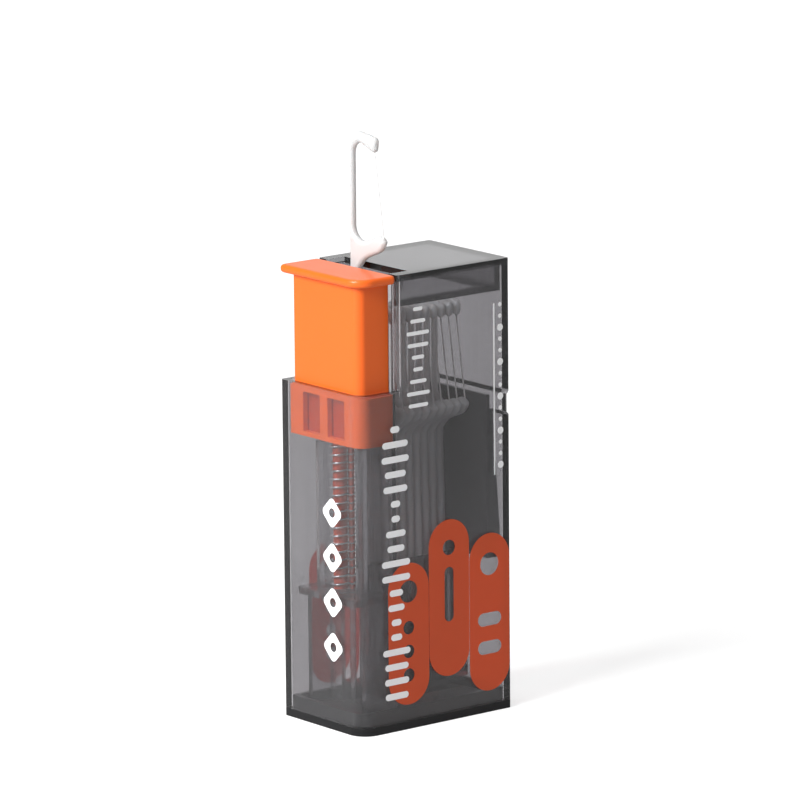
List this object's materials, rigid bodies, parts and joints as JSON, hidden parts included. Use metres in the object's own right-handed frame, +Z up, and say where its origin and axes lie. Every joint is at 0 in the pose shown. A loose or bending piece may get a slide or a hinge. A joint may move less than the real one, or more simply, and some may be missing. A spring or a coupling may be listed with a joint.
{
  "type": "dental floss dispenser",
  "caption": "Upright smoked box with a low step; an orange sprung button in the step lifts floss picks out of a slot in the dark cover, fed by a rack and follower inside.",
  "frame": {"origin": "middle of the foot, on the surface that the dispenser stands on", "axes": "+X from the button side to the rear face, +Y away from the broad printed face, +Z up"},
  "size_m": [0.0394, 0.0258, 0.1226],
  "materials": {
    "clear_smoke": "clear smoked moulding, polished",
    "black_base": "near-black moulding, semi-gloss",
    "dark_smoke": "dark smoked moulding, polished",
    "grey_frame": "grey moulding, fine matt",
    "orange": "satin orange moulding",
    "lifter_white": "natural white slider plastic",
    "spring_wire": "drawn spring wire",
    "dark_follower": "dark grey moulding",
    "pick_white": "white moulding, soft gloss",
    "floss_white": "waxed white strand"
  },
  "bodies": {
    "housing": {"shell": "clear_smoke", "base_plate": "black_base", "inner_frame": "grey_frame", "return_spring": "spring_wire", "follower_spring": "spring_wire"},
    "button": {"press_button": "orange", "lifter": "lifter_white"},
    "lifted_pick": {"raised_pick": "pick_white", "raised_floss": "floss_white"},
    "cover": {"top_cover": "dark_smoke"},
    "follower": {"follower": "dark_follower"},
    "pick_stack": {"pick_1": "pick_white", "pick_2": "pick_white", "pick_3": "pick_white", "pick_4": "pick_white", "pick_5": "pick_white", "pick_6": "pick_white", "pick_7": "pick_white", "pick_8": "pick_white", "pick_9": "pick_white", "floss_1": "floss_white", "floss_2": "floss_white", "floss_3": "floss_white", "floss_4": "floss_white", "floss_5": "floss_white", "floss_6": "floss_white", "floss_7": "floss_white", "floss_8": "floss_white", "floss_9": "floss_white"}
  },
  "joints": [
    {"name": "button_press", "type": "slide", "parent": "housing", "child": "button", "axis": [0, 0, 1], "range_m": [-0.022, 0], "stiffness_N_per_m": 200, "deforming": ["return_spring"]},
    {"name": "pick_pull", "type": "slide", "parent": "housing", "child": "lifted_pick", "axis": [0, 0, 1], "range_m": [-0.0134, 0.049]},
    {"name": "cover_lift", "type": "slide", "parent": "housing", "child": "cover", "axis": [0, 0, 1], "range_m": [0, 0.012]},
    {"name": "follower_feed", "type": "slide", "parent": "housing", "child": "follower", "axis": [-1, 0, 0], "range_m": [-0.0003, 0.002], "deforming": ["follower_spring"]},
    {"name": "stack_feed", "type": "slide", "parent": "housing", "child": "pick_stack", "axis": [-1, 0, 0], "range_m": [-0.0003, 0.002]}
  ],
  "couplings": [
    {"joint": "stack_feed", "follows": "follower_feed", "ratio": 1}
  ]
}
